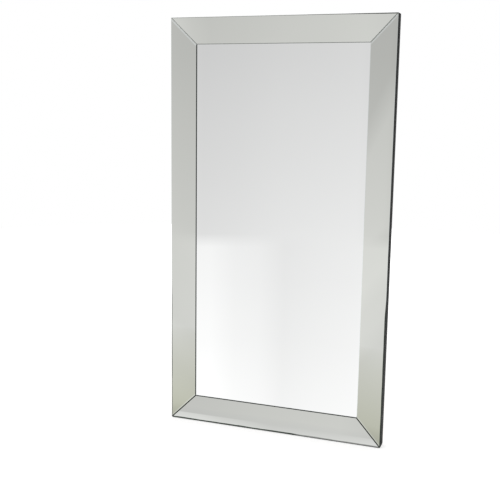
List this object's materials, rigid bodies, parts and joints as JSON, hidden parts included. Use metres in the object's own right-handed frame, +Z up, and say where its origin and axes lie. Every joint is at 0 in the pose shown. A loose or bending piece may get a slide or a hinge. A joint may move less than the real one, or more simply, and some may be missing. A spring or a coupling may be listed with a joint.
{
  "type": "floor mirror",
  "caption": "Tall leaning floor mirror with a wide mitred frame of mirrored strips that slope inwards, black sides, a battened back and swinging hanger rings.",
  "frame": {"origin": "on the floor, under the middle of the frame's width and depth, at the underside of the middle floor pad", "axes": "+Z up along the mirror's height, with the mirror upright; +X to the viewer's right; the mirror faces -Y and +Y points at the wall behind"},
  "size_m": [1.118, 0.0738, 2.06],
  "materials": {
    "mirror_glass": "polished silvered glass, faint grey-green",
    "black_paint": "satin black paint on fibreboard",
    "fibreboard": "bare brown fibreboard",
    "plywood": "bare plywood",
    "batten_pine": "planed pine",
    "mirror_tape": "white foam tape",
    "zinc_steel": "bright zinc plate",
    "black_rubber": "matt black rubber"
  },
  "bodies": {
    "mirror": {"back_rail_bottom": "batten_pine", "back_rail_top": "batten_pine", "back_stile_left": "batten_pine", "back_stile_right": "batten_pine", "backing_board": "fibreboard", "batten_screws": "zinc_steel", "brace_screws": "zinc_steel", "bumper_screws": "zinc_steel", "center_mirror": "mirror_glass", "center_tape": "mirror_tape", "corner_braces": "zinc_steel", "cross_rail_1": "batten_pine", "cross_rail_2": "batten_pine", "floor_pads": "black_rubber", "hanger_plate_left": "zinc_steel", "hanger_plate_right": "zinc_steel", "hanger_screws": "zinc_steel", "inner_wedge_bottom": "batten_pine", "inner_wedge_left": "batten_pine", "inner_wedge_right": "batten_pine", "inner_wedge_top": "batten_pine", "mirror_strip_bottom": "mirror_glass", "mirror_strip_left": "mirror_glass", "mirror_strip_right": "mirror_glass", "mirror_strip_top": "mirror_glass", "outer_ledger_bottom": "batten_pine", "outer_ledger_left": "batten_pine", "outer_ledger_right": "batten_pine", "outer_ledger_top": "batten_pine", "side_board_bottom": "black_paint", "side_board_left": "black_paint", "side_board_right": "black_paint", "side_board_top": "black_paint", "strip_carrier_bottom": "plywood", "strip_carrier_left": "plywood", "strip_carrier_right": "plywood", "strip_carrier_top": "plywood", "strip_tape_bottom": "mirror_tape", "strip_tape_left": "mirror_tape", "strip_tape_right": "mirror_tape", "strip_tape_top": "mirror_tape", "wall_bumpers": "black_rubber"},
    "left_ring": {"hanger_ring_left": "zinc_steel"},
    "right_ring": {"hanger_ring_right": "zinc_steel"}
  },
  "joints": [
    {"name": "left_ring_swing", "type": "hinge", "parent": "mirror", "child": "left_ring", "pos_m": [-0.514, 0.0375, 1.68], "axis": [1, 0, 0], "range_deg": [0, 180]},
    {"name": "right_ring_swing", "type": "hinge", "parent": "mirror", "child": "right_ring", "pos_m": [0.514, 0.0375, 1.68], "axis": [1, 0, 0], "range_deg": [0, 180]}
  ]
}
